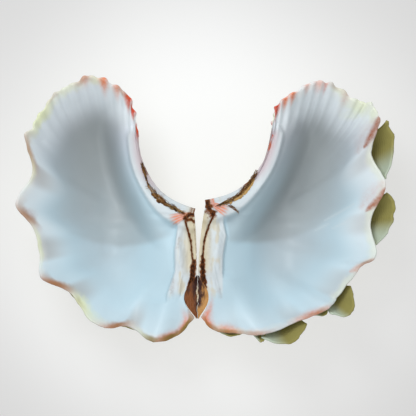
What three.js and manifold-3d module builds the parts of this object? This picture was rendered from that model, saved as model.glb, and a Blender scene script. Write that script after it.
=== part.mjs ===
// A fluted giant clam shell: the two valves lie open side by side, hollow side up, and meet along the hinge.
// Millimetres, +Z up. X runs across the pair and Y along the hinge line, with the beaks towards +Y.
// The origin is the middle of the underside of the whole shell.
import * as THREE from "three";
import { mergeVertices } from "three/addons/utils/BufferGeometryUtils.js";
import Module from "manifold-3d";

const { smoothstep, lerp, clamp, degToRad } = THREE.MathUtils;

// Heights and thicknesses shared by both valves.
const commissureHeight = 77.4; // the plane in which the closed valves would meet
const bowlDepth = 62;
const hingeThickness = 13;
const lipThickness = 2.6; // of the free margin
const ribBulge = 5; // how far a rib stands out of the outer face
const byssalDip = { depth: 13, pace: 1.05, width: 60 }; // how the byssal edge sinks below the commissure
const foldGrowth = { from: 0.3, to: 1.05 }; // the folds swell between these shares of a ray
const jointGap = 0.4; // each valve stays this far from the plane x = 0

// A higher power gives a flatter floor and a steeper side towards the margin. It falls from the byssal
// end of the margin to the hinge end.
const hollowRoundness = { byssal: 3, hinge: 1.9 };
const outsideRoundness = { byssal: 3.4, hinge: 2.5 };
const roundnessChange = { from: 0.25, to: 0.65 };

// Widths measured in from an edge, before the hollow falls away and before the outside is at full depth.
const byssalLedge = { flat: 9, slope: 32, flank: 38 };
const hingePlate = { flat: 19, slope: 74, flank: 58 };
const hingeTooth = { from: 17, middle: 12, halfLength: 26, width: 3.4, height: 4 };

// The torn ligament: half a lens in a notch of each valve's hinge edge.
const ligament = { middle: -30, halfLength: 21, share: 0.86, drop: 3, thickness: 9, gap: 1, steps: 12 };
const notch = { power: 1.5, fade: 8 }; // the notch narrows to its ends, and dies out away from the hinge

// The dried byssus remains, a crust along the byssal ledge.
const byssusRemains = { from: 0.16, to: 0.6, edges: [0.006, 0.035], lift: 1.4, thickness: 1.5, steps: 14 };

// Each margin point is [distance from the hinge plane, place along the hinge line, rise over the commissure].
// The points alternate between the raised tips and the bays, from the byssal corner to the end of the hinge.
// A rib's place counts margin points from 0, and its reach is the length of its last scute.
const leftValve = {
  name: "left_valve",
  side: -1,
  beak: [3, 48.5],
  byssalAngle: 15,
  hingeAngle: -95,
  notchWidth: 11.5,
  margin: [
    [55.5, 119, -7],
    [57.5, 139, -2],
    [64, 157, 0],
    [79, 169, 1],
    [100, 176, 1],
    [118, 169, -1],
    [134, 160, -4],
    [148, 140, 0],
    [160, 121, 9],
    [154, 87, -7],
    [168, 57, 10],
    [153, 34, 0],
    [147.5, 10, -7],
    [145, -11, 9],
    [119, -26, -7],
    [109, -38, -3],
    [86, -58, 8],
    [64, -58, -6],
    [41, -71, 6],
    [18, -66, -3],
    [2, -48, 0],
  ],
  ribs: [
    { place: 6, halfSpan: 1, reach: 10 },
    { place: 9, halfSpan: 0.7, reach: 12 },
    { place: 12, halfSpan: 0.9, reach: 12 },
    { place: 14.4, halfSpan: 0.8, reach: 12 },
    { place: 17, halfSpan: 0.7, reach: 12 },
  ],
};
const rightValve = {
  name: "right_valve",
  side: 1,
  beak: [7.5, 56.5],
  byssalAngle: 8,
  hingeAngle: -101,
  notchWidth: 9.5,
  margin: [
    [70, 121, -7],
    [69.5, 136, -2],
    [75, 150, 0],
    [90, 161, 1],
    [110, 171, 1],
    [128, 168, -1],
    [147, 155, -4],
    [160, 150, 1],
    [169, 136, 9],
    [162.5, 104, -7],
    [174.5, 75, 10],
    [162, 41, -7],
    [165, 7, 9],
    [146, -11, -5],
    [131, -30, -6],
    [121, -40, 8],
    [97, -54, -6],
    [60, -64.5, 7],
    [36, -64, -4],
    [13, -60, -3],
    [2.3, -47.5, 0],
  ],
  ribs: [
    { place: 6, halfSpan: 0.9, reach: 14 },
    { place: 9, halfSpan: 0.8, reach: 33.5 },
    { place: 11, halfSpan: 0.72, reach: 35 },
    { place: 14.1, halfSpan: 0.75, reach: 36 },
    { place: 16.4, halfSpan: 0.55, reach: 31 },
    { place: 18.2, halfSpan: 0.6, reach: 12 },
  ],
};
const highestFold = 10; // the largest rise of a tip
const ground = { size: 600, depth: 100 }; // a block that reaches past the shell on every side
const rayBow = { base: 0.5, byssal: 0.1 }; // how far along its chord a ray bends, and the extra by the byssus

// Scutes: leaf-like plates in a row along each rib, each shorter and more worn towards the umbo.
const scuteRows = [
  { u: 0.58, share: 0.3 },
  { u: 0.76, share: 0.5 },
  { u: 0.93, share: 1 },
];
const scute = {
  thickness: 2.2,
  sink: 2.5, // how far the root goes into the rib
  riseAngle: 35, // degrees from straight out, at the root
  lean: 62, // the same at the tip
  flare: 0.12,
  taper: 0.35, // how much shorter the sides are than the middle
  across: 4,
  up: 2,
};

// How finely each sheet of a valve is divided, and how finely the byssal edge is measured from.
const raySteps = 11;
const marginStepsPerPoint = 3;
const byssalSamples = 32;

const wasm = await Module();
wasm.setup();

// A triangle list over shared points becomes a closed solid.
function solidFrom(points, triangles) {
  return new wasm.Manifold(
    new wasm.Mesh({
      numProp: 3,
      vertProperties: new Float32Array(points.flatMap((point) => [point.x, point.y, point.z])),
      triVerts: new Uint32Array(triangles.flat()),
    }),
  );
}

function solidOfGeometry(geometry) {
  const bare = geometry.clone();
  bare.deleteAttribute("normal");
  bare.deleteAttribute("uv");
  const merged = mergeVertices(bare);
  return new wasm.Manifold(
    new wasm.Mesh({
      numProp: 3,
      vertProperties: merged.attributes.position.array,
      triVerts: new Uint32Array(merged.index.array),
    }),
  );
}

function geometryOf(solid) {
  const mesh = solid.getMesh();
  const geometry = new THREE.BufferGeometry();
  geometry.setAttribute("position", new THREE.BufferAttribute(mesh.vertProperties, 3));
  geometry.setIndex(new THREE.BufferAttribute(mesh.triVerts, 1));
  geometry.computeVertexNormals();
  return geometry;
}

// The valve itself, without the chips that the ground cuts free or the pockets closed in under a scute.
function largestPiece(solid) {
  return solid.decompose().reduce((best, piece) => (piece.volume() > best.volume() ? piece : best));
}

// Two facing sheets of points, rows by columns, are joined round their rim into one closed solid.
function solidBetween(front, back) {
  const rows = front.length;
  const columns = front[0].length;
  const points = [...front.flat(), ...back.flat()];
  const behind = rows * columns;
  const triangles = [];
  const quad = (a, b, c, d) => triangles.push([a, b, c], [a, c, d]);
  for (let i = 0; i + 1 < rows; i++)
    for (let j = 0; j + 1 < columns; j++) {
      const a = i * columns + j;
      quad(a, a + 1, a + columns + 1, a + columns);
      quad(behind + a, behind + a + columns, behind + a + columns + 1, behind + a + 1);
    }
  const rim = [];
  for (let j = 0; j < columns; j++) rim.push(j);
  for (let i = 1; i < rows; i++) rim.push(i * columns + columns - 1);
  for (let j = columns - 2; j >= 0; j--) rim.push((rows - 1) * columns + j);
  for (let i = rows - 2; i > 0; i--) rim.push(i * columns);
  rim.forEach((a, index) => {
    const b = rim[(index + 1) % rim.length];
    quad(a, behind + a, behind + b, b);
  });
  return weldedSolid(points, triangles);
}

// Points that coincide become one, and the triangles that collapse are left out.
function weldedSolid(points, triangles) {
  const seen = new Map();
  const kept = [];
  const places = points.map((point) => {
    const key = point.toArray().map((value) => value.toFixed(4)).join();
    if (!seen.has(key)) seen.set(key, kept.push(point) - 1);
    return seen.get(key);
  });
  const whole = triangles
    .map((triangle) => triangle.map((corner) => places[corner]))
    .filter(([a, b, c]) => a !== b && b !== c && c !== a);
  const solid = solidFrom(kept, whole);
  return solid.volume() < 0 ? solidFrom(kept, whole.map(([a, b, c]) => [a, c, b])) : solid;
}

// A valve's shape. A place on it is u, from the beak (0) to the free margin (1), and s, round the margin
// from the byssal corner (0) to the end of the hinge line (1).
class ValveShape {
  constructor(valve) {
    this.valve = valve;
    this.beak = new THREE.Vector2(...valve.beak);
    const rimPoints = valve.margin.map((point) => new THREE.Vector3(...point));
    this.rim = new THREE.CatmullRomCurve3(rimPoints, false, "centripetal");
    this.byssalEdge = [];
    for (let i = 0; i <= byssalSamples; i++) this.byssalEdge.push(this.ray(i / byssalSamples, 0));
  }

  // The ray to margin place s leaves the beak turned towards the hinge and bends out to the margin.
  ray(u, s) {
    const end = this.rim.getPoint(s);
    const chord = new THREE.Vector2(end.x, end.y).sub(this.beak);
    const angle = degToRad(lerp(this.valve.byssalAngle, this.valve.hingeAngle, s * s));
    const arm = chord.length() * (rayBow.base + rayBow.byssal * (1 - s) ** 2);
    const bend = new THREE.Vector2(Math.cos(angle), Math.sin(angle)).multiplyScalar(arm).add(this.beak);
    const curve = new THREE.QuadraticBezierCurve(this.beak, bend, chord.add(this.beak));
    return curve.getPoint(u);
  }

  // The plan position: the ray, pushed out by the ligament's notch and kept off the other valve.
  plan(u, s) {
    const place = this.ray(u, s);
    place.x = Math.max(place.x, jointGap) + notchAt(this.valve, place.y) * s ** notch.fade;
    return place;
  }

  fromByssalEdge(place) {
    return Math.min(...this.byssalEdge.map((point) => point.distanceTo(place)));
  }

  // The height of the surface before the hollow is taken out: the folded commissure and the byssal dip.
  baseHeight(u, s, fromByssus) {
    const fold = this.rim.getPoint(s).z * smoothstep(u, foldGrowth.from, foldGrowth.to);
    const sag = Math.sin(Math.PI * Math.min(u * byssalDip.pace, 1));
    return commissureHeight + fold - byssalDip.depth * sag * (1 - smoothstep(fromByssus, 0, byssalDip.width));
  }

  inner(u, s) {
    const place = this.plan(u, s);
    const fromByssus = this.fromByssalEdge(place);
    const hollow =
      (1 - u ** roundnessAt(hollowRoundness, s)) *
      smoothstep(fromByssus, byssalLedge.flat, byssalLedge.flat + byssalLedge.slope) *
      smoothstep(place.x, hingePlate.flat, hingePlate.flat + hingePlate.slope);
    const height = this.baseHeight(u, s, fromByssus) - bowlDepth * dome(hollow) + toothHeight(place);
    return this.inWorld(place, height);
  }

  outer(u, s) {
    const place = this.plan(u, s);
    const fromByssus = this.fromByssalEdge(place);
    const sides = dome(fromByssus / byssalLedge.flank) * dome(place.x / hingePlate.flank);
    const depth = dome((1 - u ** roundnessAt(outsideRoundness, s)) * sides);
    const valley = (highestFold - this.rim.getPoint(s).z) / highestFold;
    const rib = ribBulge * valley * Math.sqrt(u) * (1 - u ** 3);
    const edge = lerp(hingeThickness, lipThickness, smoothstep(u, 0.1, 1));
    const height = this.baseHeight(u, s, fromByssus) - bowlDepth * depth - edge - rib * depth;
    return this.inWorld(place, height);
  }

  inWorld(place, height) {
    return new THREE.Vector3(place.x * this.valve.side, place.y, height);
  }

  sheet(surface) {
    const rays = (this.valve.margin.length - 1) * marginStepsPerPoint;
    const rows = [];
    for (let i = 0; i <= raySteps; i++) {
      const row = [];
      for (let j = 0; j <= rays; j++) row.push(surface.call(this, i / raySteps, j / rays));
      rows.push(row);
    }
    return rows;
  }

  // One scute: a curved plate that springs from the rib and leans over towards the margin.
  scuteSolid(rib, row) {
    const last = this.valve.margin.length - 1;
    const step = 0.01;
    const front = [];
    const back = [];
    for (let i = 0; i <= scute.up; i++) {
      const up = i / scute.up;
      front.push([]);
      back.push([]);
      for (let j = 0; j <= scute.across; j++) {
        const across = (2 * j) / scute.across - 1;
        const s = clamp((rib.place + across * rib.halfSpan) / last, 0, 1);
        const base = this.outer(row.u, s);
        const along = this.outer(row.u + step, s).sub(this.outer(row.u - step, s)).normalize();
        const side = this.outer(row.u, s + step).sub(this.outer(row.u, s - step)).normalize();
        const away = new THREE.Vector3().crossVectors(along, side).normalize();
        if (away.z > 0) away.negate();
        const reach = rib.reach * row.share * (1 - scute.taper * across ** 2);
        const turn = degToRad(lerp(scute.riseAngle, scute.lean, up));
        const direction = away.clone().multiplyScalar(Math.cos(turn)).addScaledVector(along, Math.sin(turn));
        const point = base
          .addScaledVector(away, -scute.sink)
          .addScaledVector(direction, up * (reach + scute.sink))
          .addScaledVector(side, across * up * up * reach * scute.flare);
        front[i].push(point);
        back[i].push(point.clone().addScaledVector(along, -scute.thickness));
      }
    }
    return solidBetween(front, back);
  }

  solid() {
    const body = solidBetween(this.sheet(this.inner), this.sheet(this.outer));
    const scutes = this.valve.ribs.flatMap((rib) => scuteRows.map((row) => this.scuteSolid(rib, row)));
    const whole = scutes.reduce((sum, one) => sum.add(one), body);
    return largestPiece(whole.subtract(groundBlock()));
  }
}

// A quarter sine: steep at the edge and level once it is in at full depth.
function dome(share) {
  return Math.sin((clamp(share, 0, 1) * Math.PI) / 2);
}

function roundnessAt(roundness, s) {
  return lerp(roundness.byssal, roundness.hinge, smoothstep(s, roundnessChange.from, roundnessChange.to));
}

// The width of the ligament's notch at a place along the hinge line.
function notchAt(valve, along) {
  const share = (along - ligament.middle) / ligament.halfLength;
  return valve.notchWidth * Math.max(0, 1 - share * share) ** notch.power;
}

// The hinge tooth is a long low ridge on the hollow side of the hinge plate.
function toothHeight(place) {
  const along = clamp((place.y - hingeTooth.middle) / hingeTooth.halfLength, -1, 1);
  const across = (place.x - hingeTooth.from) / hingeTooth.width;
  return hingeTooth.height * Math.cos((along * Math.PI) / 2) * Math.exp(-across * across);
}

// All that would reach below the ground: the shell is worn flat where it lies on its ribs and scutes.
function groundBlock() {
  const block = new THREE.BoxGeometry(ground.size, ground.size, ground.depth);
  return solidOfGeometry(block.translate(0, 0, -ground.depth / 2));
}

// Half of the torn ligament, between the joint plane and the notch.
function ligamentSolid(valve) {
  const top = commissureHeight - ligament.drop;
  const upper = [];
  const lower = [];
  for (let i = 0; i <= ligament.steps; i++) {
    const share = lerp(-ligament.share, ligament.share, i / ligament.steps);
    const along = ligament.middle + ligament.halfLength * share;
    const width = notchAt(valve, along) + jointGap - ligament.gap;
    const inner = new THREE.Vector3(valve.side * jointGap * 0.5, along, top);
    const outer = new THREE.Vector3(valve.side * Math.max(width, 1), along, top);
    upper.push([inner, outer]);
    const fall = new THREE.Vector3(0, 0, -ligament.thickness);
    lower.push([inner.clone().add(fall), outer.clone().add(fall)]);
  }
  return solidBetween(upper, lower);
}

// The crust of dried byssus follows the ledge a little way in from the byssal edge.
function byssusSolid(shape) {
  const lower = [];
  const upper = [];
  for (let i = 0; i <= byssusRemains.steps; i++) {
    const u = lerp(byssusRemains.from, byssusRemains.to, i / byssusRemains.steps);
    const bottom = [];
    for (const s of byssusRemains.edges) {
      bottom.push(shape.inner(u, s).add(new THREE.Vector3(0, 0, byssusRemains.lift)));
    }
    lower.push(bottom);
    upper.push(bottom.map((point) => point.clone().add(new THREE.Vector3(0, 0, byssusRemains.thickness))));
  }
  return solidBetween(upper, lower);
}

const shellMaterial = { color: 0xdfe8ee, roughness: 0.3, metalness: 0 };
const ligamentMaterial = { color: 0x5a2a10, roughness: 0.6, metalness: 0 };
const byssusMaterial = { color: 0x6b4a22, roughness: 0.9, metalness: 0 };

function meshOf(name, solid, material) {
  const mesh = new THREE.Mesh(geometryOf(solid), new THREE.MeshStandardMaterial(material));
  mesh.name = name;
  return mesh;
}

const shell = new THREE.Group();
for (const valve of [leftValve, rightValve]) {
  const shape = new ValveShape(valve);
  const side = valve.side < 0 ? "left" : "right";
  shell.add(meshOf(valve.name, shape.solid(), shellMaterial));
  shell.add(meshOf(side + "_ligament", ligamentSolid(valve), ligamentMaterial));
  shell.add(meshOf(side + "_byssus_remains", byssusSolid(shape), byssusMaterial));
}

// The shell stands on z = 0 already, so only its plan is centred.
const middle = new THREE.Box3().setFromObject(shell).getCenter(new THREE.Vector3());
shell.position.set(-middle.x, -middle.y, 0);

export default shell;
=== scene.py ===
import math

import bmesh
import bpy
import numpy as np
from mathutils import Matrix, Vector
from mathutils.bvhtree import BVHTree


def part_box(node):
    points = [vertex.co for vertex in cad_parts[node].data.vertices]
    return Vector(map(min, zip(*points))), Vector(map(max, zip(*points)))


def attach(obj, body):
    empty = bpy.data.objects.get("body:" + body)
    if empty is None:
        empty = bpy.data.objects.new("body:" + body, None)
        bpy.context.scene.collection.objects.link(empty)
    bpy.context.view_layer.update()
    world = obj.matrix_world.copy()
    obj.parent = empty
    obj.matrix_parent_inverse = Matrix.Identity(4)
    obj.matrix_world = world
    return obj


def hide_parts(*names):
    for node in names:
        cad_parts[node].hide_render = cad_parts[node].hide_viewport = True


# A fluted giant clam shell: both valves laid open side by side, hollow side up.
# Shapes are worked out in millimetres on the hinge's own axes: out from the hinge plane, along the
# hinge line towards the beaks, and up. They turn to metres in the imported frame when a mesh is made.

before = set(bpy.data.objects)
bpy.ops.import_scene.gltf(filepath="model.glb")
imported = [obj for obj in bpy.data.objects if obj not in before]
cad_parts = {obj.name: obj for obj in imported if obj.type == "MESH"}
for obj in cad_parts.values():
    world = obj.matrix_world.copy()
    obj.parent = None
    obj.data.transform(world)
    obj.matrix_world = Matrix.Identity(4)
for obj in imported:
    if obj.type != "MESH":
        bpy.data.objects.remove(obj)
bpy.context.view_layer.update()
mm = 0.001

ligamentMiddle = -30.0  # the ligament's centre along the hinge line
ligamentHalf = 21.0  # half of its length
leftLow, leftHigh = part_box("left_ligament")
rightLow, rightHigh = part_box("right_ligament")
hingeX = (leftHigh.x + rightLow.x) / 2
hingeY = (leftLow.y + leftHigh.y) / 2 - ligamentMiddle * mm
commissure = leftHigh.z / mm + 3.0  # the plane in which the closed valves would meet
print("frame loaded, hinge plane at x", round(hingeX, 5))

def smoothStep(value, low, high):
    share = np.clip((value - low) / (high - low), 0, 1)
    return share * share * (3 - 2 * share)

def dome(share):
    return np.sin(np.clip(share, 0, 1) * math.pi / 2)

def bump(value, centre, width):
    return np.exp(-(((value - centre) / width) ** 2))

def mix(a, b, share):
    return a + (b - a) * share

def waveNoise(x, y, seed, scale, layers=4):
    # A smooth field of about -1 to 1, made of a few turned waves, the same on every run.
    draw = np.random.default_rng(seed)
    total = np.zeros(np.broadcast(x, y).shape)
    weight = 0.0
    for layer in range(layers):
        for turn in range(5):
            angle, phase, stretch = draw.uniform(0, 6.28), draw.uniform(0, 6.28), draw.uniform(0.7, 1.4)
            along = (x * math.cos(angle) + y * math.sin(angle)) / (scale * stretch / 1.9**layer)
            total = total + np.sin(along * 6.28 + phase) * 0.6**layer
            weight += 0.36**layer * 0.5
    return total / math.sqrt(weight) / 2

def splineAt(points, share):
    # A centripetal curve through the points; share runs from 0 to 1 with every point equally far apart.
    points = np.asarray(points, float)
    padded = np.vstack([2 * points[0] - points[1], points, 2 * points[-1] - points[-2]])
    place = np.clip(share, 0, 1) * (len(points) - 1)
    first = np.minimum(place.astype(int), len(points) - 2)
    t = (place - first)[:, None]
    p0, p1, p2, p3 = (padded[first + k] for k in range(4))
    gaps = [np.linalg.norm(b - a, axis=1, keepdims=True) ** 0.5 for a, b in ((p0, p1), (p1, p2), (p2, p3))]
    d0, d1, d2 = gaps
    t1 = ((p1 - p0) / d0 - (p2 - p0) / (d0 + d1) + (p2 - p1) / d1) * d1
    t2 = ((p2 - p1) / d1 - (p3 - p1) / (d1 + d2) + (p3 - p2) / d2) * d1
    a = 2 * (p1 - p2) + t1 + t2
    b = -3 * p1 + 3 * p2 - 2 * t1 - t2
    return ((a * t + b) * t + t1) * t + p1

def distanceToPath(x, y, path):
    # Distance from each place to a polyline, and how far along it the nearest place is (0 to 1).
    best = np.full(x.shape, 1e9)
    where = np.zeros(x.shape)
    count = len(path) - 1
    for index in range(count):
        ax, ay = path[index]
        bx, by = path[index + 1][0] - ax, path[index + 1][1] - ay
        share = np.clip(((x - ax) * bx + (y - ay) * by) / (bx * bx + by * by + 1e-9), 0, 1)
        gap = np.hypot(x - ax - share * bx, y - ay - share * by)
        nearer = gap < best
        best = np.where(nearer, gap, best)
        where = np.where(nearer, (index + share) / count, where)
    return best, where

def capsule(x, y, path, width, fade=1.0):
    # A soft stroke along a path, wider at its middle when fade is over 0.
    gap, where = distanceToPath(x, y, path)
    span = width * (1 - fade * 0.6 * np.abs(2 * where - 1) ** 2)
    return np.exp(-((gap / np.maximum(span, 0.2)) ** 2))

def toWorld(points, side):
    points = np.array(points, float) * mm
    points[..., 0] = points[..., 0] * side + hingeX
    points[..., 1] += hingeY
    return points

def tagMesh(mesh, tags):
    # Stores a number or a vector on every vertex, for materials and geometry trees to read.
    for name, values in tags.items():
        values = np.asarray(values, np.float32)
        kind, slot = ("FLOAT_VECTOR", "vector") if values.ndim == 2 else ("FLOAT", "value")
        mesh.attributes.new(name, kind, "POINT").data.foreach_set(slot, values.ravel())

# Form shared by the two valves, in mm.
shellForm = {
    "bowlDepth": 62.0,
    "hingeThickness": 13.0,
    "lipThickness": 2.6,
    "ribBulge": 5.0,
    "byssalDip": 13.0,
    "jointGap": 0.25,
    "hollowRoundness": (3.0, 1.9),  # by the byssal corner, and by the hinge
    "outsideRoundness": (3.4, 2.5),
    "ledgeFlat": 9.0,
    "ledgeSpread": 1.6,  # how much wider the ledge is by the beak
    "ledgeSlope": 32.0,
    "byssalFlank": 38.0,
    "plateFlat": 19.0,
    "plateSlope": 74.0,
    "hingeFlank": 58.0,
    "deepestFold": 10.0,
    "ledgeCrown": 2.8,
    "toothHeight": 3.4,
    "ridgeHeight": 1.9,
    "grooveDepth": 2.8,
    "hollowFolds": (0.52, 1.04),  # on the hollow side the folds swell between these shares of a ray
    "rimFlare": 0.22,
    "lobeInset": 0.9,
    "lobeLift": 1.2,  # for each mm that a lobe stands out
    "tipReach": 0.6,
    "ledgeStep": 3.4,
    "plateStep": 4.4,
    "fluteHeight": 1.3,
    "raysPerPoint": 15,
    "steps": 108,
    "lipSteps": 5,
    "wallSteps": 8,
}

# Margin points are (out, along, rise), from the byssal corner round to the end of the hinge line.
# Tips, lobes, stains and ribs are placed by counting margin points.
# Lobes: (place, how far out, half width). Stains: (place, depth, half width, strength, redness).
# Strokes: (path, half width, strength, redness). Grime: (path, half width, strength).
# Lime, olive and ochre: (place, half width, depth, strength). The ochre bands below the tips are partly painted
# shade.
# Ribs: (place, half span, reach of the last scute). Fan: where its rays meet, its first and last angle.
# Painted shade reach: how far from the byssal edge the painted shade in the hollow has risen, stays and is
# gone, and its strength by the hinge plate.
leftValve = {
    "side": -1,
    "beak": (3.0, 48.5),
    "byssalAngle": 15.0,
    "hingeAngle": -95.0,
    "notchWidth": 11.5,
    "seed": 3,
    "margin": [
        (55.5, 119, -7), (57.5, 139, -2), (64, 157, 0), (79, 169, 1), (100, 176, 1), (118, 169, -1),
        (134, 160, -4), (148, 140, 0), (160, 121, 9), (154, 87, -7), (168, 57, 10), (153, 34, 0),
        (147.5, 10, -7), (145, -11, 9), (119, -26, -7), (109, -38, -3), (86, -58, 8), (64, -58, -6),
        (41, -71, 6), (18, -66, -3), (2, -48, 0),
    ],
    "tips": (8, 10, 13, 16, 18),
    "lobes": [
        (0.3, 1.5, 0.3), (1.1, 1.7, 0.25), (1.85, 2.0, 0.25), (2.65, 2.0, 0.24), (3.35, 2.2, 0.24),
        (4.2, 1.5, 0.22), (5.1, 1.0, 0.22), (6.1, 0.9, 0.25), (7.0, 1.0, 0.2),
        (7.6, -3.0, 0.2), (15.5, 2.6, 0.3),
    ],
    "ribs": [(6, 1.0, 10), (9, 0.7, 12), (12, 0.9, 12), (14.4, 0.8, 12), (17, 0.7, 12)],
    "plateEdge": [(19, 34), (21.5, 14), (21, -6), (29, -29)],
    "secondRidge": [(15, -9), (17.5, -30)],
    "paintedShadeEdge": [(10, 33), (21, 28), (46, 19), (74, 15), (97, 19), (116, 26), (132, 32), (180, 50)],
    "groove": [(11.8, 42.5), (11.2, 40), (8.8, 31), (5.6, 18.6), (4.2, 3), (4.6, -9), (7, -16)],
    "stains": [
        (0.3, 6, 0.26, 1.0, 0.8), (1.35, 7, 0.25, 1.0, 0.95), (1.95, 8, 0.28, 1.0, 0.8),
        (2.75, 8, 0.22, 0.65, 0.3), (3.4, 9, 0.2, 0.8, 0.35), (4.3, 6, 0.3, 0.5, 0.45),
        (13.45, 7, 0.45, 0.6, 0.15), (16.3, 6, 0.5, 0.6, 0.2), (18.6, 8, 0.6, 0.75, 0.35),
        (19.3, 15, 0.5, 0.75, 0.4),
    ],
    "strokes": [
        ([(53.5, 112), (50, 98), (46, 84)], 3.2, 0.32, 0.7),
        ([(160, 52), (152, 40)], 7.0, 0.4, 0.0), ([(14, -64), (9, -53)], 8.0, 0.34, 0.15),
    ],
    "fan": (3.4, 49.8, -38, -7),
    "paintedShadeReach": (24, 50, 112, 0.75),
    "glints": [],
    "valleyShade": 0.5,
    "fluteReach": 17,
    "lime": [
        (5.3, 0.9, 7, 0.45), (7.0, 0.85, 10, 0.9), (8.8, 0.55, 4, 0.5), (11.6, 0.7, 4, 0.6),
        (14.9, 0.7, 10, 0.9), (17.7, 0.4, 4, 0.5), (3.75, 0.35, 6, 0.5),
    ],
    "olive": [(14.8, 0.4, 5, 0.35), (17.9, 0.35, 5, 0.8), (18.7, 0.5, 6, 0.85), (19.4, 0.5, 6, 0.9)],
    "ochre": [
        (8.4, 0.5, 8, 0.7), (10.45, 0.5, 11, 0.8), (13.5, 0.5, 9, 0.85), (16.5, 0.5, 8, 0.85),
        (18.7, 0.5, 9, 0.85), (19.5, 0.5, 10, 0.95), (4.4, 0.5, 4, 0.45), (6.1, 0.4, 3, 0.3),
        (2.4, 0.3, 4, 0.6),
    ],
    "grime": [
        ([(11.6, 42.5), (11.2, 40), (8.8, 31), (6.4, 22)], 1.6, 0.8),
        ([(6.4, 22), (4.4, 3), (4.8, -9), (7.2, -18)], 1.3, 0.85),
        ([(4, 47.4), (7.5, 46.6), (11.4, 43.5)], 3.2, 1.0), ([(3.6, 40.8), (6, 42), (9.8, 42)], 2.4, 0.9),
        ([(5.2, 0), (6.2, -12), (9, -22)], 1.8, 1.0), ([(3.2, 3), (3.6, -8), (4.5, -16)], 3.2, 1.0),
        ([(3.4, 38), (1.2, 12), (0.6, 0)], 0.7, 0.35),
        ([(11.4, -31), (9.5, -38), (5, -45), (1.5, -50)], 1.1, 0.8),
        ([(51, 94), (48.5, 84), (45.5, 73)], 1.1, 0.5), ([(37, 65), (27, 55), (12, 48)], 2.4, 0.55),
        ([(19, 16), (16.5, 25)], 3.4, 0.2), ([(22.5, -14), (24, -27)], 4.4, 0.2),
        ([(15, 4), (13.5, -14)], 2.4, 0.14), ([(12, 18), (9, -10)], 2.0, 0.14),
    ],
    "fibres": [
        {"path": [(46, 73), (36, 62.6), (26, 55), (14, 48.8)], "width": 3.6, "count": 90},
        {"path": [(52, 95), (49.5, 85), (46.5, 75)], "width": 1.4, "count": 40},
    ],
    "crust": [
        {"path": [(42.5, 67.5), (36, 61.8), (27.5, 55.8)], "width": 7.5, "tone": 0.2},
        {"path": [(30, 56.2), (22, 52.4), (14, 49)], "width": 4.6, "tone": 0.6},
        {"path": [(52, 95), (50.2, 88), (48.6, 82.5)], "width": 3.0, "tone": 0.2},
        {"path": [(47, 77.5), (44.5, 72.5)], "width": 1.6, "tone": 0.5},
    ],
}
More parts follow.
